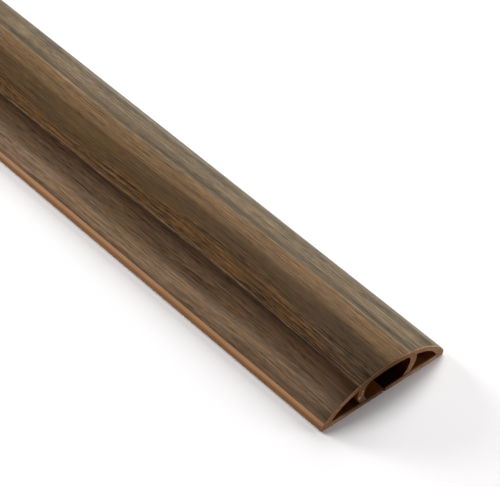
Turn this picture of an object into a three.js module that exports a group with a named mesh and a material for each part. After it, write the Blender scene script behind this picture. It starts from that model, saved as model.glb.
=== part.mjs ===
// Floor cord cover: a low domed strip, extruded in one piece, that lies over cords crossing a floor.
// It runs along X, its width lies along Y and its flat base rests on the plane Z = 0.
// The origin is the middle of the base. All sizes are in millimetres, all angles in degrees.

import * as THREE from "three";

// Overall sizes of the strip
const LENGTH = 1000;
const WIDTH = 60;
const HEIGHT = 14;

// The blunt side edges, where a walker's foot or a wheel comes up onto the cover
const EDGE_HEIGHT = 2.2;
const EDGE_ROUND = 1.2;
const FOOT_ROUND = 0.4;

// The walls of the section: the base, the dome over the channel and the solid rim at each side
const BASE_THICKNESS = 2.2;
const CROWN_THICKNESS = 2.4;
const RIM_WIDTH = 4.0;

// The cord channel between its two bowed walls, with the slit that the cords are pressed in through
const CHANNEL_WIDTH = 22.4;
const CHANNEL_WALL = 3.1;
const WALL_BOW = 2.4;
const WALL_WIDEST_HEIGHT = 5.2;
const SHOULDER_ROUND = 1.8;
const SLIT_WIDTH = 1.0;

// How much of a half ellipse each side of the dome uses, outside and on its underside
const DOME_SWEEP = 62;
const UNDERSIDE_SWEEP = 76;

// Points on each curved stretch of the section
const CURVE_SEGMENTS = 16;

// An elliptical vault that is topHeight high at the centre and footHeight high at halfWidth
function vault(halfWidth, topHeight, footHeight, sweepDegrees) {
  const sweep = THREE.MathUtils.degToRad(sweepDegrees);
  const radiusY = halfWidth / Math.sin(sweep);
  const radiusZ = (topHeight - footHeight) / (1 - Math.cos(sweep));
  const centreZ = topHeight - radiusZ;
  return {
    radiusY,
    radiusZ,
    centreZ,
    heightAt: (y) => centreZ + radiusZ * Math.sqrt(1 - (y / radiusY) ** 2),
    angleAt: (y) => Math.acos(y / radiusY),
  };
}

// A wall face bowed outward: the arc leaves the base at footY and is widest at footY + WALL_BOW
function bowedFace(footY) {
  const radius = (WALL_WIDEST_HEIGHT ** 2 + WALL_BOW ** 2) / (2 * WALL_BOW);
  const centreY = footY + WALL_BOW - radius;
  const centreZ = BASE_THICKNESS + WALL_WIDEST_HEIGHT;
  const footAngle = -Math.asin(WALL_WIDEST_HEIGHT / radius);
  const pointAt = (angle) => new THREE.Vector2(
    centreY + radius * Math.cos(angle),
    centreZ + radius * Math.sin(angle),
  );
  return { radius, centreY, centreZ, footAngle, pointAt };
}

// The angle at which a bowed face meets the underside of the dome, found by halving an interval
function angleAtUnderside(face) {
  const HALVINGS = 40;
  let below = face.footAngle;
  let above = Math.PI / 2;
  for (let step = 0; step < HALVINGS; step += 1) {
    const middle = (below + above) / 2;
    const point = face.pointAt(middle);
    if (point.y < underside.heightAt(point.x)) {
      below = middle;
    } else {
      above = middle;
    }
  }
  return below;
}

const halfWidth = WIDTH / 2;
const halfSlit = SLIT_WIDTH / 2;
const channelFootY = CHANNEL_WIDTH / 2 - WALL_BOW;
const chamberFootY = channelFootY + CHANNEL_WALL;
const chamberTipY = halfWidth - RIM_WIDTH;

const dome = vault(halfWidth, HEIGHT, EDGE_HEIGHT, DOME_SWEEP);
const underside = vault(chamberTipY, HEIGHT - CROWN_THICKNESS, BASE_THICKNESS, UNDERSIDE_SWEEP);
const channelFace = bowedFace(channelFootY);
const chamberFace = bowedFace(chamberFootY);

// The outer outline, counterclockwise from the slit: the right of the base, the dome from right to
// left, the left of the base, and back through the slit round the channel
function sectionOutline() {
  const outline = new THREE.Shape();
  outline.moveTo(halfSlit, 0);

  outline.lineTo(halfWidth - FOOT_ROUND, 0);
  outline.quadraticCurveTo(halfWidth, 0, halfWidth, FOOT_ROUND);
  outline.lineTo(halfWidth, EDGE_HEIGHT - EDGE_ROUND);

  const domeEndY = halfWidth - EDGE_ROUND;
  const domeEndZ = dome.heightAt(domeEndY);
  const domeStart = dome.angleAt(domeEndY);
  outline.quadraticCurveTo(halfWidth, EDGE_HEIGHT, domeEndY, domeEndZ);
  outline.absellipse(
    0, dome.centreZ, dome.radiusY, dome.radiusZ, domeStart, Math.PI - domeStart, false,
  );
  outline.quadraticCurveTo(-halfWidth, EDGE_HEIGHT, -halfWidth, EDGE_HEIGHT - EDGE_ROUND);

  outline.lineTo(-halfWidth, FOOT_ROUND);
  outline.quadraticCurveTo(-halfWidth, 0, -halfWidth + FOOT_ROUND, 0);
  outline.lineTo(-halfSlit, 0);
  outline.lineTo(-halfSlit, BASE_THICKNESS);
  outline.lineTo(-channelFootY, BASE_THICKNESS);

  const corner = channelFace.pointAt(angleAtUnderside(channelFace));
  const faceTop = angleAtUnderside(channelFace) - SHOULDER_ROUND / channelFace.radius;
  const faceTopPoint = channelFace.pointAt(faceTop);
  const ceilingEndY = corner.x - SHOULDER_ROUND;
  const ceilingEndZ = underside.heightAt(ceilingEndY);
  const ceilingStart = underside.angleAt(ceilingEndY);
  outline.absarc(
    -channelFace.centreY, channelFace.centreZ, channelFace.radius,
    Math.PI - channelFace.footAngle, Math.PI - faceTop, true,
  );
  outline.quadraticCurveTo(-corner.x, corner.y, -ceilingEndY, ceilingEndZ);
  outline.absellipse(
    0, underside.centreZ, underside.radiusY, underside.radiusZ,
    Math.PI - ceilingStart, ceilingStart, true,
  );
  outline.quadraticCurveTo(corner.x, corner.y, faceTopPoint.x, faceTopPoint.y);
  outline.absarc(
    channelFace.centreY, channelFace.centreZ, channelFace.radius,
    faceTop, channelFace.footAngle, true,
  );
  outline.lineTo(halfSlit, BASE_THICKNESS);
  outline.closePath();
  return outline;
}

// One side chamber, right for side 1 and left for side -1: a three-sided hollow between the base, the
// outer face of the channel's wall and the underside of the dome
function chamberOutline(side) {
  const wallTop = angleAtUnderside(chamberFace);
  const topY = chamberFace.pointAt(wallTop).x;
  const chamber = new THREE.Path();
  const points = [];
  for (let step = 0; step <= CURVE_SEGMENTS; step += 1) {
    const angle = THREE.MathUtils.lerp(chamberFace.footAngle, wallTop, step / CURVE_SEGMENTS);
    points.push(chamberFace.pointAt(angle));
  }
  for (let step = 1; step <= CURVE_SEGMENTS; step += 1) {
    const y = THREE.MathUtils.lerp(topY, chamberTipY, step / CURVE_SEGMENTS);
    points.push(new THREE.Vector2(y, underside.heightAt(y)));
  }
  chamber.setFromPoints(points.map((point) => new THREE.Vector2(side * point.x, point.y)));
  chamber.closePath();
  return chamber;
}

// The strip: the section pushed out along its length, then laid along X with its width along Y
function cordCover() {
  const section = sectionOutline();
  section.holes.push(chamberOutline(1), chamberOutline(-1));
  const geometry = new THREE.ExtrudeGeometry(section, {
    depth: LENGTH,
    bevelEnabled: false,
    curveSegments: CURVE_SEGMENTS,
  });
  const alongX = new THREE.Matrix4().makeBasis(
    new THREE.Vector3(0, 1, 0),
    new THREE.Vector3(0, 0, 1),
    new THREE.Vector3(1, 0, 0),
  );
  geometry.applyMatrix4(alongX);
  geometry.translate(-LENGTH / 2, 0, 0);

  const walnutBrownPlastic = new THREE.MeshStandardMaterial({
    color: 0x6b5443,
    roughness: 0.55,
    metalness: 0,
  });
  const mesh = new THREE.Mesh(geometry, walnutBrownPlastic);
  mesh.name = "cord_cover";
  return mesh;
}

const model = new THREE.Group();
model.add(cordCover());

export default model;
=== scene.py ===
import math

import bmesh
import bpy
from mathutils import Matrix, Vector
from mathutils.geometry import tessellate_polygon


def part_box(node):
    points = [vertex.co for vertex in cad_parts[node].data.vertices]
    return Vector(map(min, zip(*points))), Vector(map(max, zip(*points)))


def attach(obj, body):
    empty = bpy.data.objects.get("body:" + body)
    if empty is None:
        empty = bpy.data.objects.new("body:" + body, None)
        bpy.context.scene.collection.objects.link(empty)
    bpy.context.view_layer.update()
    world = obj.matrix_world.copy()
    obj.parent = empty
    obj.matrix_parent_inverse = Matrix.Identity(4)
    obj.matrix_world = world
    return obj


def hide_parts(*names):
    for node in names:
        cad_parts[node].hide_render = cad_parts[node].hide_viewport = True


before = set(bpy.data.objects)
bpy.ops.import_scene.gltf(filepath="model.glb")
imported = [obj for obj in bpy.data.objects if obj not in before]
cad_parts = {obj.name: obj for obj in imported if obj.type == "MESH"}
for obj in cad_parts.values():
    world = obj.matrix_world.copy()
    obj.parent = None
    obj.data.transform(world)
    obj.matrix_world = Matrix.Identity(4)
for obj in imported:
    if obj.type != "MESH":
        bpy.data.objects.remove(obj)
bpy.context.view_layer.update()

# Floor cord cover: one extruded strip of soft plastic with a wood-grain print on its dome.
# Sizes are in millimetres and angles in degrees, unless a comment says otherwise. X runs along the
# strip with the cut that the camera sees at +X, Y runs across it and the camera is on the -Y side.
MM = 0.001
low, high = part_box("cord_cover")
LENGTH = (high.x - low.x) / MM
WIDTH = (high.y - low.y) / MM
HEIGHT = (high.z - low.z) / MM
HALF = WIDTH / 2

# The section
EDGE_HEIGHT = 2.2
EDGE_ROUND = 1.2
FOOT_ROUND = 0.4
BASE_THICKNESS = 2.2
CROWN_THICKNESS = 2.4
RIM_WIDTH = 4.0
CHANNEL_WIDTH = 22.4
CHANNEL_WALL = 3.1
WALL_BOW = 2.4
WALL_WIDEST_HEIGHT = 5.2
SHOULDER_ROUND = 1.8
SLIT_WIDTH = 1.0
DOME_SWEEP = 62
UNDERSIDE_SWEEP = 76

# The print stops just short of each side edge, where the plain plastic shows
PRINT_HALF_WIDTH = 29.0

# Small softening of the cut ends
CUT_ROUND = 0.22
CUT_STEPS = 3

# How far a corner of an outline may move when the outline is inset, in distances of the inset
CORNER_REACH = 1.6

# Points on each curve of the section, rings along the strip, and steps of a search by halving
DOME_POINTS = 120
CURVE_POINTS = 20
ROUND_POINTS = 7
RINGS = 160
HALVINGS = 40

# A shallow scar that the knife left on the near wall of the channel, in the cut by the camera. Its
# centre is a place across the strip and a height.
SCAR_CENTRE = (-12.75, 6.7)
SCAR_LENGTH = 4.2
SCAR_WIDTH = 1.6
SCAR_LEAN = 14
SCAR_DEPTH = 0.15
SCAR_TAPER = 0.4
SCAR_FLOOR_SHARE = 0.6
SCAR_POINTS = 28

# Material slots of the strip's mesh
PRINT, BODY, HOLLOW, CUT, LIP, SCAR = range(6)


class Vault:
    """An elliptical vault, top high at the centre and foot high at half_width."""

    def __init__(self, half_width, top, foot, sweep_degrees):
        sweep = math.radians(sweep_degrees)
        self.radius_y = half_width / math.sin(sweep)
        self.radius_z = (top - foot) / (1 - math.cos(sweep))
        self.centre_z = top - self.radius_z

    def height(self, y):
        return self.centre_z + self.radius_z * math.sqrt(1 - (y / self.radius_y) ** 2)


class BowedFace:
    """A wall face bowed outward from the base, as an arc in the section."""

    def __init__(self, foot_y):
        self.radius = (WALL_WIDEST_HEIGHT ** 2 + WALL_BOW ** 2) / (2 * WALL_BOW)
        self.centre_y = foot_y + WALL_BOW - self.radius
        self.centre_z = BASE_THICKNESS + WALL_WIDEST_HEIGHT
        self.foot_angle = -math.asin(WALL_WIDEST_HEIGHT / self.radius)

    def point(self, angle):
        return (
            self.centre_y + self.radius * math.cos(angle),
            self.centre_z + self.radius * math.sin(angle),
        )

    def angle_under(self, vault):
        """The angle at which the face meets the vault, by halving an interval."""
        below, above = self.foot_angle, math.pi / 2
        for _ in range(HALVINGS):
            middle = (below + above) / 2
            y, z = self.point(middle)
            if z < vault.height(y):
                below = middle
            else:
                above = middle
        return below


dome = Vault(HALF, HEIGHT, EDGE_HEIGHT, DOME_SWEEP)
underside = Vault(HALF - RIM_WIDTH, HEIGHT - CROWN_THICKNESS, BASE_THICKNESS, UNDERSIDE_SWEEP)
channel_foot = CHANNEL_WIDTH / 2 - WALL_BOW
chamber_foot = channel_foot + CHANNEL_WALL


def rounded(start, corner, end):
    """Points of a quadratic curve from start to end that is pulled to corner, both ends included."""
    points = []
    for step in range(ROUND_POINTS + 1):
        t = step / ROUND_POINTS
        points.append(tuple(
            (1 - t) ** 2 * a + 2 * t * (1 - t) * b + t ** 2 * c for a, b, c in zip(start, corner, end)
        ))
    return points


def mix(a, b, share):
    """The number that lies the given share of the way from a to b."""
    return a + (b - a) * share


def dome_and_edge():
    """The right half from the crown down the dome and round the edge to the base, as (y, z, material)."""
    points = []
    dome_end = HALF - EDGE_ROUND
    steps = DOME_POINTS // 2
    for step in range(steps):
        y = dome_end * math.sin(math.pi / 2 * step / steps)
        points.append((y, dome.height(y), PRINT))
    edge_top = (dome_end, dome.height(dome_end))
    edge_foot = (HALF, EDGE_HEIGHT - EDGE_ROUND)
    for y, z in rounded(edge_top, (HALF, EDGE_HEIGHT), edge_foot):
        points.append((y, z, PRINT if y < PRINT_HALF_WIDTH else BODY))
    for y, z in rounded((HALF, FOOT_ROUND), (HALF, 0), (HALF - FOOT_ROUND, 0)):
        points.append((y, z, BODY))
    return points


def slit_and_channel():
    """The right half from the base up through the slit, up the channel's wall and along its ceiling
    to the middle, as (y, z, material)."""
    points = [(SLIT_WIDTH / 2, 0), (SLIT_WIDTH / 2, BASE_THICKNESS)]
    face = BowedFace(channel_foot)
    top = face.angle_under(underside)
    corner = face.point(top)
    shoulder_start = top - SHOULDER_ROUND / face.radius
    for step in range(CURVE_POINTS):
        points.append(face.point(mix(face.foot_angle, shoulder_start, step / CURVE_POINTS)))
    ceiling_end = corner[0] - SHOULDER_ROUND
    points += rounded(face.point(shoulder_start), corner, (ceiling_end, underside.height(ceiling_end)))
    for step in range(1, CURVE_POINTS + 1):
        y = ceiling_end * (1 - step / CURVE_POINTS)
        points.append((y, underside.height(y)))
    return [(y, z, HOLLOW) for y, z in points]


def outer_outline():
    """The whole outer outline, clockwise seen from +X. Each point carries the material of the face
    that follows it, so the mirrored half takes them one point on."""
    right = dome_and_edge() + slit_and_channel()
    left = []
    for here, after in zip(right[-2:0:-1], right[-3::-1]):
        left.append((-here[0], here[1], after[2]))
    return right + left


def chamber_outline(side):
    """The outline of the side chamber at +Y or -Y, as (y, z, material)."""
    face = BowedFace(chamber_foot)
    top = face.angle_under(underside)
    top_y = face.point(top)[0]
    tip_y = HALF - RIM_WIDTH
    points = [face.point(mix(face.foot_angle, top, step / CURVE_POINTS)) for step in range(CURVE_POINTS)]
    roof_steps = 2 * CURVE_POINTS
    for step in range(roof_steps):
        y = mix(top_y, tip_y, step / roof_steps)
        points.append((y, underside.height(y)))
    points.append((tip_y, BASE_THICKNESS))
    return [(side * y, z, HOLLOW) for y, z in points]


def turned(outline, clockwise):
    """The outline, running clockwise or counterclockwise seen from +X as asked."""
    pairs = zip(outline, outline[1:] + outline[:1])
    double_area = sum(a[0] * b[1] - b[0] * a[1] for a, b in pairs)
    if (double_area < 0) == clockwise:
        return outline
    back = outline[::-1]
    return [(a[0], a[1], b[2]) for a, b in zip(back, back[1:] + back[:1])]


def inset(points, distance):
    """The outline moved into the plastic by distance, with sharp corners held back."""
    count = len(points)
    moved = []
    for index in range(count):
        before = Vector(points[index - 1])
        here = Vector(points[index])
        after = Vector(points[(index + 1) % count])
        first = (here - before).normalized()
        second = (after - here).normalized()
        normal = Vector((-first.y - second.y, first.x + second.x))
        reach = min(2 / normal.length, CORNER_REACH)
        shift = normal.normalized() * distance * reach
        moved.append((here.x + shift.x, here.y + shift.y))
    return moved


def cut_rings():
    """Rings of a rounded cut, from the strip's inside outward: distance from the cut, and inset."""
    rings = []
    for step in range(CUT_STEPS + 1):
        turn = math.pi / 2 * step / CUT_STEPS
        rings.append((CUT_ROUND * (1 - math.sin(turn)), CUT_ROUND * (1 - math.cos(turn))))
    return rings


def strip_rings():
    """All rings from the far end to the near cut: place along the strip, and inset."""
    half = LENGTH / 2
    inner_length = LENGTH - 2 * CUT_ROUND
    rings = [(distance - half, reach) for distance, reach in reversed(cut_rings())]
    rings += [(inner_length * (step / RINGS - 0.5), 0) for step in range(1, RINGS)]
    rings += [(half - distance, reach) for distance, reach in cut_rings()]
    return rings


def sweep(bm, outline, rings):
    """The faces of one outline along the strip. Gives its loops of corners, one to a ring."""
    flat = [point[:2] for point in outline]
    loops = []
    for x, reach in rings:
        shape = inset(flat, reach) if reach else flat
        loops.append([bm.verts.new((x * MM, y * MM, z * MM)) for y, z in shape])
    last_plain = len(rings) - 1 - CUT_STEPS
    for ring, (here, there) in enumerate(zip(loops, loops[1:])):
        in_lip = ring < CUT_STEPS or ring >= last_plain
        for index, point in enumerate(outline):
            after = (index + 1) % len(outline)
            face = bm.faces.new((here[index], here[after], there[after], there[index]))
            face.material_index = LIP if in_lip else point[2]
            face.smooth = True
    return loops


def scar_loop(share):
    """A pointed oval on the near wall of the channel, scaled by share."""
    lean = math.radians(SCAR_LEAN)
    loop = []
    for step in range(SCAR_POINTS):
        turn = 2 * math.pi * step / SCAR_POINTS
        taper = 1 - SCAR_TAPER + SCAR_TAPER * abs(math.cos(turn))
        along = share * SCAR_LENGTH / 2 * math.sin(turn)
        out = share * SCAR_WIDTH / 2 * math.cos(turn) * taper
        y = SCAR_CENTRE[0] + out * math.cos(lean) + along * math.sin(lean)
        z = SCAR_CENTRE[1] - out * math.sin(lean) + along * math.cos(lean)
        loop.append((y, z))
    return loop


def cut_scar(bm):
    """The scar's slanting rim and floor. Gives the rim's outer loop, which the cap leaves open."""
    floor_x = high.x - SCAR_DEPTH * MM
    outer = [bm.verts.new((high.x, y * MM, z * MM)) for y, z in scar_loop(1)]
    inner = [bm.verts.new((floor_x, y * MM, z * MM)) for y, z in scar_loop(SCAR_FLOOR_SHARE)]
    for index in range(SCAR_POINTS):
        after = (index + 1) % SCAR_POINTS
        face = bm.faces.new((outer[index], outer[after], inner[after], inner[index]))
        face.material_index = SCAR
    bm.faces.new(inner).material_index = CUT
    return outer


def fill_cap(bm, loops):
    """Closes the space between an outer loop and the loops inside it, as part of the cut."""
    verts = [v for loop in loops for v in loop]
    for corners in tessellate_polygon([[Vector((0, v.co.y, v.co.z)) for v in loop] for loop in loops]):
        face = bm.faces.new([verts[index] for index in corners])
        face.material_index = CUT


def build_strip():
    """The strip as one closed mesh: rings along its length, rounded at the cuts, and capped."""
    outlines = [
        turned(outer_outline(), clockwise=False),
        turned(chamber_outline(1), clockwise=True),
        turned(chamber_outline(-1), clockwise=True),
    ]
    bm = bmesh.new()
    swept = [sweep(bm, outline, strip_rings()) for outline in outlines]
    far_loops = [loops[0] for loops in swept]
    near_loops = [loops[-1] for loops in swept]
    near_loops.append(cut_scar(bm))
    fill_cap(bm, far_loops)
    fill_cap(bm, near_loops)
    bmesh.ops.recalc_face_normals(bm, faces=bm.faces)
    mesh = bpy.data.meshes.new("cord_cover_strip")
    bm.to_mesh(mesh)
    bm.free()
    strip = bpy.data.objects.new("cord_cover_strip", mesh)
    bpy.context.scene.collection.objects.link(strip)
    return strip


# Spans of a noise's values: all of them, nearly all of them, and most of them
WHOLE_SPAN = (0.0, 1.0)
WIDE_SPAN = (0.25, 0.75)
MAIN_SPAN = (0.3, 0.7)


class Nodes:
    """Short names for making the shader nodes of one material. Values are sockets or plain numbers."""

    def __init__(self, tree):
        self.tree = tree

    def link(self, source, target):
        """Joins a socket to the target, or gives the target a plain value."""
        if isinstance(source, bpy.types.NodeSocket):
            self.tree.links.new(source, target)
        else:
            target.default_value = source

    def math(self, operation, a, b=0.0):
        node = self.tree.nodes.new("ShaderNodeMath")
        node.operation = operation
        self.link(a, node.inputs[0])
        self.link(b, node.inputs[1])
        return node.outputs[0]

    def add(self, a, b):
        return self.math("ADD", a, b)

    def subtract(self, a, b):
        return self.math("SUBTRACT", a, b)

    def times(self, a, b):
        return self.math("MULTIPLY", a, b)

    def between(self, a, b, share):
        """The number that lies the given share of the way from a to b."""
        return self.add(a, self.times(share, self.subtract(b, a)))

    def map(self, value, from_low, from_high, to_low, to_high, smooth=False):
        """The value's way from from_low to from_high, as a way from to_low to to_high and no further."""
        node = self.tree.nodes.new("ShaderNodeMapRange")
        node.interpolation_type = "SMOOTHSTEP" if smooth else "LINEAR"
        ends = {"From Min": from_low, "From Max": from_high, "To Min": to_low, "To Max": to_high}
        for name, number in ends.items():
            self.link(number, node.inputs[name])
        self.link(value, node.inputs["Value"])
        return node.outputs["Result"]

    def rise(self, value, start, end, top=1.0):
        """0 up to start and top from end on, with a smooth step between them."""
        return self.map(value, start, end, 0.0, top, smooth=True)

    def fall(self, value, start, end):
        """1 up to start and 0 from end on, with a smooth step between them."""
        return self.map(value, start, end, 1.0, 0.0, smooth=True)

    def swing(self, noise, reach, middle=0.0, span=WIDE_SPAN):
        """A number that goes as far as reach to each side of middle, as the noise goes over its span."""
        return self.map(noise, *span, middle - reach, middle + reach)

    def ramp(self, value, start, end, rows):
        """The colour at the value: each row is a place between start and end, and the colour there."""
        node = self.tree.nodes.new("ShaderNodeValToRGB")
        elements = node.color_ramp.elements
        elements.remove(elements[-1])
        for index, (place, colour) in enumerate(rows):
            share = (place - start) / (end - start)
            element = elements.new(share) if index else elements[0]
            element.position = share
            element.color = (*colour, 1.0)
        self.link(self.map(value, start, end, 0.0, 1.0), node.inputs["Fac"])
        return node.outputs["Color"]

    def levels(self, value, start, end, rows):
        """The number at the value, from rows like a ramp's. The ramp holds it as shares of the peak."""
        peak = max(level for _, level in rows)
        greys = [(place, (level / peak,) * 3) for place, level in rows]
        return self.times(self.ramp(value, start, end, greys), peak)

    def mix(self, share, a, b, blend="MIX"):
        """Colours a and b mixed or blended."""
        node = self.tree.nodes.new("ShaderNodeMix")
        node.data_type = "RGBA"
        node.blend_type = blend
        self.link(share, node.inputs["Factor"])
        self.link(a, node.inputs[6])
        self.link(b, node.inputs[7])
        return node.outputs[2]

    def scale_colour(self, colour, value):
        """The colour times a number."""
        node = self.tree.nodes.new("ShaderNodeVectorMath")
        node.operation = "SCALE"
        self.link(colour, node.inputs[0])
        self.link(value, node.inputs["Scale"])
        return node.outputs[0]

    def spots(self, a, b, a_rate, b_rate, seed, detail=2.0, roughness=0.5):
        """Noise over a and b. The rates are its spots to the millimetre."""
        vector = self.tree.nodes.new("ShaderNodeCombineXYZ")
        self.link(self.times(a, a_rate), vector.inputs[0])
        self.link(self.times(b, b_rate), vector.inputs[1])
        self.link(seed, vector.inputs[2])
        node = self.tree.nodes.new("ShaderNodeTexNoise")
        node.noise_dimensions = "3D"
        node.inputs["Scale"].default_value = 1.0
        node.inputs["Detail"].default_value = detail
        node.inputs["Roughness"].default_value = roughness
        self.link(vector.outputs[0], node.inputs["Vector"])
        return node.outputs["Fac"]

    def grain(self, x, across, long, wide, seed, detail=2.0, roughness=0.5):
        """Noise drawn out along the strip: long and wide are its spots' sizes."""
        return self.spots(x, across, 1 / long, 1 / wide, seed, detail, roughness)

    def bump(self, height, strength, depth):
        """The normal of a surface that the height raises by up to depth."""
        node = self.tree.nodes.new("ShaderNodeBump")
        node.inputs["Strength"].default_value = strength
        node.inputs["Distance"].default_value = depth * MM
        self.link(height, node.inputs["Height"])
        return node.outputs["Normal"]

    def position(self):
        """X, Y and Z of the surface in the strip's own frame, in millimetres."""
        coordinates = self.tree.nodes.new("ShaderNodeTexCoord")
        separate = self.tree.nodes.new("ShaderNodeSeparateXYZ")
        self.link(coordinates.outputs["Object"], separate.inputs[0])
        return [self.times(socket, 1 / MM) for socket in separate.outputs]


def new_material(name):
    """A material, its nodes and its shader."""
    material = bpy.data.materials.new(name)
    material.use_nodes = True
    return material, Nodes(material.node_tree), material.node_tree.nodes["Principled BSDF"]


def linear(red, green, blue):
    """A colour given as 0 to 255 display values, as linear light."""
    def channel(value):
        value /= 255
        return value / 12.92 if value <= 0.04045 else ((value + 0.055) / 1.055) ** 2.4
    return channel(red), channel(green), channel(blue)


# Colours of the print, as 0 to 255 display values under neutral light
INK = {
    "light_tan": (136, 109, 84),
    "tan": (114, 91, 70),
    "walnut": (88, 66, 45),
    "dark_walnut": (54, 35, 17),
    "orange": (86, 59, 30),
    "umber": (79, 58, 33),
    "peat": (69, 52, 33),
    "honey": (105, 80, 52),
    "sand": (108, 92, 70),
    "smoke": (85, 72, 53),
    "ash": (103, 92, 77),
}

# Bands of the print: place across the strip, ink, and how bright it is there
BANDS = (
    (-30.0, "tan", 1.0),
    (-28.8, "tan", 0.96),
    (-27.4, "light_tan", 0.98),
    (-25.0, "light_tan", 0.97),
    (-23.4, "tan", 0.94),
    (-21.5, "walnut", 1.06),
    (-19.0, "walnut", 0.94),
    (-16.6, "dark_walnut", 1.15),
    (-15.6, "dark_walnut", 0.98),
    (-15.0, "dark_walnut", 0.8),
    (-14.7, "walnut", 1.03),
    (-14.3, "walnut", 0.98),
    (-13.6, "orange", 0.85),
    (-12.4, "orange", 1.02),
    (-9.0, "orange", 0.9),
    (-4.5, "umber", 1.06),
    (-3.0, "umber", 0.94),
    (-0.6, "umber", 0.96),
    (1.6, "honey", 0.93),
    (5.0, "honey", 0.97),
    (8.6, "honey", 1.01),
    (9.6, "sand", 1.02),
    (10.5, "smoke", 1.02),
    (11.9, "smoke", 0.95),
    (14.2, "sand", 0.96),
    (17.5, "sand", 0.97),
    (21.5, "sand", 0.8),
    (23.4, "sand", 0.85),
    # From here to the far edge the colour turns greyer and lighter
    (25.2, "ash", 1.0),
    (30.0, "ash", 1.0),
)

# How strong the streaks are: place across the strip, share of full strength
STREAKINESS = (
    (-30.0, 0.38),
    (-26.0, 0.38),
    (-20.0, 0.5),
    (-16.0, 0.65),
    (-13.0, 0.95),
    (-7.5, 0.95),
    (-5.0, 0.45),
    (0.0, 0.42),
    (5.0, 0.52),
    (11.0, 0.55),
    (17.0, 0.58),
    (22.0, 0.8),
    (30.0, 0.8),
)

# Slow waves of the print along the strip: where they are counted from, as a distance before the cut,
# and how far they turn in a millimetre, in radians
FAR_WAVE = (100.0, 0.0314)
NEAR_WAVE = (119.0, 0.0345)

# The bands' sway: a full wave on the far side, a smaller one with a shift on the near side, and a
# drift at the near edge. The spans are before the cut or across the strip.
NEAR_SWAY_REACH = 0.74
NEAR_SWAY_SHIFT = 0.35
EDGE_DRIFT = 0.9
EDGE_DRIFT_SPAN = (-80.0, -25.0)
EDGE_TO_NEAR_SPAN = (-22.5, -18.0)
NEAR_TO_FAR_SPAN = (-6.0, 8.0)
WANDER_REACH = 0.9
WAVER_REACH = 0.3

# The orange band's far side, and the brown beside it that takes its place by the cut
ORANGE_SWELL = 2.8
ORANGE_TOP = -8.0
ORANGE_TOP_AT_CUT = -14.5
BROWN_CUT_SPAN = (-56.0, -14.0)
BROWN_START_SPAN = (-1.2, 1.2)
BROWN_END_SPAN = (-3.5, 0.0)
BROWN_LINE_SPAN = (-14.4, -13.6)
UMBER_LEVEL = 0.92
BROWN_STRENGTH = 0.4
CUT_STRENGTH_SPAN = (-8.0, -5.0)
CUT_STRENGTHS = (1.05, 0.52)

# Slow changes of brightness: of the brown middle with the wave, and of the near edge by the cut
MIDDLE_RISE = (-8.5, -6.0)
MIDDLE_FALL = (0.0, 2.0)
MIDDLE_CHANGE = 0.12
EDGE_SHADE = 0.2
EDGE_SHADE_SPAN = (-60.0, -8.0)
EDGE_SHADE_WIDTH = (-23.0, -19.0)

# The grain's strengths, its relief and roughness, and its tints from cool to warm
PATCH_REACH = 0.4
STREAK_REACH = 1.25
FIBRE_REACH = 1.1
PORE_TONE = -0.35
PORE_SPAN = (0.62, 0.76)
DARKEST_TONE = 0.15
FIBRE_RELIEF = 0.6
PORE_RELIEF = -0.8
PRINT_ROUGHNESS = (0.5, 0.6)
COOL_TINT = (0.95, 1.0, 1.09, 1.0)
WARM_TINT = (1.05, 1.0, 0.91, 1.0)


def wave(n, from_cut, start, turn):
    """A sine along the strip, from -1 to 1."""
    return n.math("SINE", n.times(n.add(from_cut, start), turn))


def band_place(n, x, y, from_cut, far_wave):
    """The place across the strip that each spot takes its band from. The bands sway slowly along the
    strip, the far side's more than the near side's, and those of the near edge drift inward towards
    the cut."""
    near_sway = n.add(n.times(wave(n, from_cut, *NEAR_WAVE), NEAR_SWAY_REACH), NEAR_SWAY_SHIFT)
    edge_drift = n.rise(from_cut, *EDGE_DRIFT_SPAN, EDGE_DRIFT)
    near_side = n.between(edge_drift, near_sway, n.rise(y, *EDGE_TO_NEAR_SPAN))
    sway = n.between(near_side, far_wave, n.rise(y, *NEAR_TO_FAR_SPAN))
    wander = n.swing(n.grain(x, y, long=55.0, wide=6.0, seed=3.1), WANDER_REACH, span=WHOLE_SPAN)
    waver = n.swing(n.grain(x, y, long=7.0, wide=1.4, seed=7.7), WAVER_REACH, span=WHOLE_SPAN)
    return n.add(n.subtract(y, sway), n.add(wander, waver))


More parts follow.
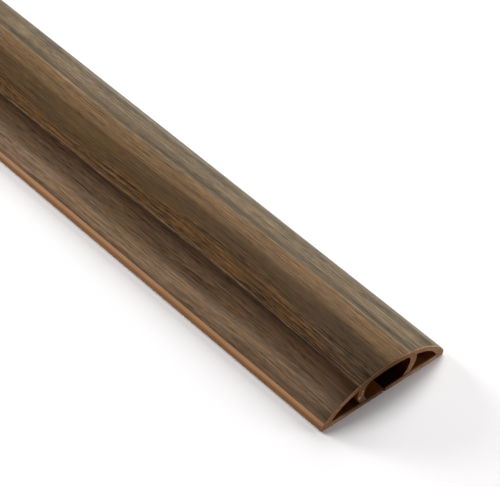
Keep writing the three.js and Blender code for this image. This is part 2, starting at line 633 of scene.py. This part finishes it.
def band_colours(n, y, across, from_cut, far_wave):
    """The bands' colour, and the strength of the streaks on them."""
    inks = [(place, linear(*(value * level for value in INK[ink]))) for place, ink, level in BANDS]
    colour = n.ramp(across, -HALF, HALF, inks)
    strength = n.levels(across, -HALF, HALF, STREAKINESS)

    # The orange band swells and narrows along the strip, and gives way to brown towards the cut
    near_cut = n.rise(from_cut, *BROWN_CUT_SPAN)
    orange_end = n.map(near_cut, 0.0, 1.0, ORANGE_TOP, ORANGE_TOP_AT_CUT)
    past_orange = n.subtract(across, n.add(n.times(far_wave, ORANGE_SWELL), orange_end))
    brown_share = n.times(n.rise(past_orange, *BROWN_START_SPAN), n.fall(across, *BROWN_END_SPAN))
    brown_share = n.times(brown_share, n.rise(across, *BROWN_LINE_SPAN))
    umber = n.scale_colour(linear(*INK["umber"]), UMBER_LEVEL)
    colour = n.mix(brown_share, colour, n.mix(near_cut, umber, (*linear(*INK["peat"]), 1.0)))
    cut_strength = n.map(across, *CUT_STRENGTH_SPAN, *CUT_STRENGTHS, smooth=True)
    brown_strength = n.between(BROWN_STRENGTH, cut_strength, near_cut)
    strength = n.between(strength, brown_strength, brown_share)

    # The brown middle lightens and darkens along the strip, and the near edge darkens at the cut
    middle = n.times(n.rise(across, *MIDDLE_RISE), n.fall(across, *MIDDLE_FALL))
    middle_shade = n.times(middle, n.times(far_wave, MIDDLE_CHANGE))
    edge_shade = n.times(n.rise(from_cut, *EDGE_SHADE_SPAN, EDGE_SHADE), n.fall(y, *EDGE_SHADE_WIDTH))
    colour = n.scale_colour(colour, n.subtract(1.0, middle_shade))
    colour = n.scale_colour(colour, n.subtract(1.0, edge_shade))
    return colour, strength


def print_material():
    """Wood grain printed on the dome: bands along the strip, drawn-out streaks, flecks and pores."""
    material, n, shader = new_material("wood_grain_print")
    x, y, _ = n.position()
    from_cut = n.subtract(x, LENGTH / 2)
    far_wave = wave(n, from_cut, *FAR_WAVE)
    across = band_place(n, x, y, from_cut, far_wave)
    colour, strength = band_colours(n, y, across, from_cut, far_wave)

    patches = n.grain(x, across, long=40.0, wide=2.6, seed=11.0)
    streaks = n.grain(x, across, long=26.0, wide=0.5, seed=17.0, roughness=0.55)
    fibres = n.grain(x, across, long=4.5, wide=0.26, seed=23.0, roughness=0.6)
    pores = n.grain(x, across, long=6.0, wide=0.3, seed=31.0, detail=1.0)
    tone = n.add(n.swing(patches, PATCH_REACH), n.swing(streaks, STREAK_REACH))
    tone = n.add(tone, n.swing(fibres, FIBRE_REACH))
    tone = n.add(tone, n.rise(pores, *PORE_SPAN, PORE_TONE))
    tone = n.add(n.times(tone, strength), 1.0)
    colour = n.scale_colour(colour, n.math("MAXIMUM", tone, DARKEST_TONE))
    tint_noise = n.grain(x, across, long=24.0, wide=2.2, seed=37.0, detail=3.0)
    warmth = n.map(tint_noise, *MAIN_SPAN, 0.0, 1.0)
    colour = n.mix(1.0, colour, n.mix(warmth, COOL_TINT, WARM_TINT), blend="MULTIPLY")
    n.link(colour, shader.inputs["Base Color"])

    height = n.add(n.times(fibres, FIBRE_RELIEF), n.times(pores, PORE_RELIEF))
    n.link(n.bump(height, strength=0.3, depth=0.06), shader.inputs["Normal"])
    n.link(n.map(streaks, *MAIN_SPAN, *PRINT_ROUGHNESS), shader.inputs["Roughness"])
    shader.inputs["Specular IOR Level"].default_value = 0.05
    return material


# The plain plastic of the side edges, lighter towards the top: display values, and where it changes
EDGE_LOWER_COLOUR = (142, 100, 65)
EDGE_UPPER_COLOUR = (180, 134, 94)
EDGE_CHANGE_SPAN = (1.5, 2.6)
EDGE_WANDER = 0.3
EDGE_TONE_REACH = 0.1

# How much faster the die's lines follow one another up the edge than across the base
LINES_UP_EDGE = 1.7


def body_material():
    """The plain plastic of the side edges and the base, with faint lines from the die."""
    material, n, shader = new_material("brown_soft_plastic")
    x, y, z = n.position()
    around = n.add(y, n.times(z, LINES_UP_EDGE))
    lines = n.grain(x, around, long=90.0, wide=0.5, seed=41.0)
    cloud = n.grain(x, around, long=14.0, wide=6.0, seed=43.0, detail=3.0)
    line_tone = n.swing(lines, EDGE_TONE_REACH, middle=1.0)
    tone = n.times(line_tone, n.swing(cloud, EDGE_TONE_REACH, middle=1.0))
    wander = n.swing(n.grain(x, y, long=60.0, wide=30.0, seed=47.0), EDGE_WANDER, span=WHOLE_SPAN)
    upper = n.rise(n.add(z, wander), *EDGE_CHANGE_SPAN)
    colour = n.mix(upper, (*linear(*EDGE_LOWER_COLOUR), 1.0), (*linear(*EDGE_UPPER_COLOUR), 1.0))
    n.link(n.scale_colour(colour, tone), shader.inputs["Base Color"])
    n.link(n.bump(lines, strength=0.2, depth=0.05), shader.inputs["Normal"])
    shader.inputs["Roughness"].default_value = 0.55
    shader.inputs["Specular IOR Level"].default_value = 0.1
    return material


# The hollows' colour, darkened as painted shade, as display values, and the painted light and shade
# across them: place across the strip, share
HOLLOW_PAINTED_SHADE_COLOUR = (88, 47, 14)
HOLLOW_LINE_REACH = 0.15
HOLLOW_PAINTED_LIGHT_AND_SHADE = (
    (-26.0, 0.45),
    (-18.6, 0.48),
    (-17.5, 0.95),
    (-16.5, 2.2),
    (-15.5, 3.2),
    (-14.4, 1.8),
    (-11.7, 1.8),
    (-11.3, 0.55),
    (14.0, 0.55),
    (18.6, 0.7),
    (20.2, 1.4),
    (21.5, 2.6),
    (24.0, 4.8),
)


def hollow_material():
    """The same plastic inside the channel and chambers, warm and darkened by painted shade, with painted
    pools of light across the chambers, ribbed lightly by the die.
    """
    material, n, shader = new_material("soft_plastic_painted_shade")
    x, y, z = n.position()
    lines = n.grain(x, n.add(y, z), long=70.0, wide=0.6, seed=61.0)
    line_tone = n.swing(lines, HOLLOW_LINE_REACH, middle=1.0)
    # Painted light and shade across the chambers, on top of the die's lines
    tone = n.times(line_tone, n.levels(y, -HALF, HALF, HOLLOW_PAINTED_LIGHT_AND_SHADE))
    n.link(n.scale_colour(linear(*HOLLOW_PAINTED_SHADE_COLOUR), tone), shader.inputs["Base Color"])
    n.link(n.bump(lines, strength=0.2, depth=0.05), shader.inputs["Normal"])
    shader.inputs["Roughness"].default_value = 0.8
    shader.inputs["Specular IOR Level"].default_value = 0.0
    return material


# Colours of the cut, of its softened lip, lighter as a painted highlight, and of the scar's rim, pale as
# a painted highlight, as display values
CUT_COLOUR = (130, 99, 74)
LIP_HIGHLIGHT_COLOUR = (162, 126, 97)
SCAR_RIM_HIGHLIGHT_COLOUR = (222, 186, 152)

# Painted shade and light across the cut, darkest about the crown and the near side, and paler and bluer
# on the far side: place across the strip, shares of red, green and blue
CUT_PAINTED_LIGHT_AND_SHADE = (
    (-30.0, (0.92, 0.82, 0.82)),
    (-22.0, (0.94, 0.93, 1.0)),
    (-15.0, (0.53, 0.51, 0.47)),
    (-8.0, (0.37, 0.36, 0.33)),
    (-1.0, (0.41, 0.34, 0.27)),
    (4.0, (0.54, 0.49, 0.44)),
    (11.5, (1.0, 0.97, 0.96)),
    (17.0, (1.0, 1.0, 1.05)),
    (23.0, (1.15, 1.28, 1.42)),
    (30.0, (1.1, 1.12, 1.15)),
)

# Painted shade and light on the cut of the base, darker at the floor and by the top of the base and
# lighter between: height above the floor, share of its colour. The change ends before the strip's tips.
BASE_PAINTED_LIGHT_AND_SHADE = (
    (0.0, 0.7),
    (0.3, 0.7),
    (0.75, 1.6),
    (1.4, 1.6),
    (1.75, 0.5),
    (2.2, 0.35),
    (2.45, 0.6),
    (2.7, 1.0),
)
BASE_CHANGE_END = (25.0, 27.5)

# The blade's marks and the clouding, and a stain: where its noise sets in, and what it leaves of red,
# green and blue
MARK_REACH = 0.4
CLOUD_REACH = 0.15
STAIN_SPAN = (0.45, 0.65)
STAIN_SHARES = (1.0, 0.84, 0.7)


def cut_material(name, display_colour):
    """The cut ends: plastic scuffed by the blade, in fine marks that run down the cut, with painted shade
    and light across the cut and up the cut of the base.
    """
    material, n, shader = new_material(name)
    _, y, z = n.position()
    marks = n.spots(y, z, a_rate=2.4, b_rate=0.9, seed=51.0, detail=3.0, roughness=0.6)
    cloud = n.spots(y, z, a_rate=0.2, b_rate=0.4, seed=57.0)
    mark_tone = n.swing(marks, MARK_REACH, middle=1.0)
    tone = n.times(mark_tone, n.swing(cloud, CLOUD_REACH, middle=1.0, span=MAIN_SPAN))
    # Painted shade and light by height on the cut of the base, fading out towards the tips
    off_tips = n.fall(n.math("ABSOLUTE", y), *BASE_CHANGE_END)
    tone = n.times(tone, n.between(1.0, n.levels(z, 0.0, HEIGHT, BASE_PAINTED_LIGHT_AND_SHADE), off_tips))

    clean = linear(*display_colour)
    stained = [value * share for value, share in zip(clean, STAIN_SHARES)]
    stain = n.rise(n.spots(y, z, a_rate=0.5, b_rate=1.0, seed=53.0, roughness=0.6), *STAIN_SPAN)
    colour = n.mix(stain, (*clean, 1.0), (*stained, 1.0))
    # Painted shade and light across the cut
    colour = n.mix(1.0, colour, n.ramp(y, -HALF, HALF, CUT_PAINTED_LIGHT_AND_SHADE), blend="MULTIPLY")
    n.link(n.scale_colour(colour, tone), shader.inputs["Base Color"])
    n.link(n.bump(marks, strength=0.4, depth=0.1), shader.inputs["Normal"])
    shader.inputs["Roughness"].default_value = 0.7
    shader.inputs["Specular IOR Level"].default_value = 0.02
    return material


# The floor's colour in linear light and its slight variation, its reach from the middle, and how far it
# lies under the strip
FLOOR_COLOUR = (0.916, 0.898, 0.9)
FLOOR_TONE_REACH = 0.005
FLOOR_REACH = 6000.0
FLOOR_GAP = 0.02


def floor_material():
    """A pale floor with hardly any variation."""
    material, n, shader = new_material("pale_floor")
    x, y, _ = n.position()
    cloud = n.spots(x, y, a_rate=0.01, b_rate=0.01, seed=0.0, detail=1.0)
    tone = n.swing(cloud, FLOOR_TONE_REACH, middle=1.0, span=WHOLE_SPAN)
    n.link(n.scale_colour(FLOOR_COLOUR, tone), shader.inputs["Base Color"])
    shader.inputs["Roughness"].default_value = 0.9
    shader.inputs["Specular IOR Level"].default_value = 0.1
    return material


def make_floor():
    reach = FLOOR_REACH * MM
    corners = [(-reach, -reach, 0), (reach, -reach, 0), (reach, reach, 0), (-reach, reach, 0)]
    mesh = bpy.data.meshes.new("floor")
    mesh.from_pydata(corners, [], [(0, 1, 2, 3)])
    floor = bpy.data.objects.new("floor", mesh)
    floor.data.materials.append(floor_material())
    floor.location.z = -FLOOR_GAP * MM
    bpy.context.scene.collection.objects.link(floor)


# The camera is placed from the foot of the near cut, at its middle. The azimuth is from -Y towards +X,
# and the picture's middle lies to the left of that point and above it. Two of the lengths are in
# pixels of the picture.
CAMERA_AZIMUTH = 37.999
CAMERA_ELEVATION = 41.676
CAMERA_ROLL = 11.369
CAMERA_DISTANCE = 721.951
AIM_LEFT = 44.310
AIM_ABOVE = 49.368
FOCAL_PIXELS = 2176.074
IMAGE_WIDTH_PIXELS = 500
SENSOR_WIDTH = 36.0
CLIP_START = 10.0
CLIP_END = 20000.0


def make_camera():
    a, e, r = (math.radians(v) for v in (CAMERA_AZIMUTH, CAMERA_ELEVATION, CAMERA_ROLL))
    back = Vector((math.sin(a) * math.cos(e), -math.cos(a) * math.cos(e), math.sin(e)))
    level = Vector((0, 0, 1)).cross(back).normalized()
    upright = back.cross(level)
    right = math.cos(r) * level + math.sin(r) * upright
    up = -math.sin(r) * level + math.cos(r) * upright
    data = bpy.data.cameras.new("photo_view")
    data.sensor_fit = "HORIZONTAL"
    data.sensor_width = SENSOR_WIDTH
    data.lens = SENSOR_WIDTH * FOCAL_PIXELS / IMAGE_WIDTH_PIXELS
    data.clip_start = CLIP_START * MM
    data.clip_end = CLIP_END * MM
    camera = bpy.data.objects.new("photo_view", data)
    bpy.context.scene.collection.objects.link(camera)
    cut_foot = Vector((high.x, 0, 0))
    place = cut_foot + (back * CAMERA_DISTANCE - right * AIM_LEFT + up * AIM_ABOVE) * MM
    camera.matrix_world = Matrix.Translation(place) @ Matrix((right, up, back)).transposed().to_4x4()
    bpy.context.scene.camera = camera


# Softboxes round a point on the floor near the cut: name, degrees from +Y towards -X, degrees above
# the floor, width and height in metres, watts
SOFTBOXES = (
    ("back_softbox", 16, 30, 1.4, 0.95, 36.5),
    ("right_softbox", -40, 12, 0.85, 0.85, 20.5),
    ("left_softbox", 105, 12, 0.85, 0.85, 47.5),
    ("top_softbox", 72, 63, 0.95, 0.95, 18.0),
)
SOFTBOX_DISTANCE = 2000.0
LIT_POINT_FROM_CUT = 80.0
FILL_STRENGTH = 0.085


def make_light():
    world = bpy.data.worlds.new("studio")
    world.use_nodes = True
    background = world.node_tree.nodes["Background"]
    background.inputs["Color"].default_value = (1.0, 1.0, 1.0, 1.0)
    background.inputs["Strength"].default_value = FILL_STRENGTH
    bpy.context.scene.world = world
    lit_point = Vector((high.x - LIT_POINT_FROM_CUT * MM, 0, 0))
    for name, turn, rise, width, height, watts in SOFTBOXES:
        data = bpy.data.lights.new(name, "AREA")
        data.shape = "RECTANGLE"
        data.size = width
        data.size_y = height
        data.energy = watts
        a, e = math.radians(turn), math.radians(rise)
        toward = Vector((-math.sin(a) * math.cos(e), math.cos(a) * math.cos(e), math.sin(e)))
        light = bpy.data.objects.new(name, data)
        light.location = lit_point + toward * SOFTBOX_DISTANCE * MM
        light.rotation_euler = toward.to_track_quat("Z", "Y").to_euler()
        bpy.context.scene.collection.objects.link(light)
    bpy.context.scene.view_settings.view_transform = "Standard"


make_camera()
make_floor()
make_light()
strip = build_strip()
for material in (
    print_material(),
    body_material(),
    hollow_material(),
    cut_material("cut_soft_plastic", CUT_COLOUR),
    # The lip's and the scar rim's lighter colours are painted highlights
    cut_material("cut_edge_soft_plastic_painted_highlight", LIP_HIGHLIGHT_COLOUR),
    cut_material("scar_rim_painted_highlight", SCAR_RIM_HIGHLIGHT_COLOUR),
):
    strip.data.materials.append(material)
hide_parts("cord_cover")
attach(strip, "root")
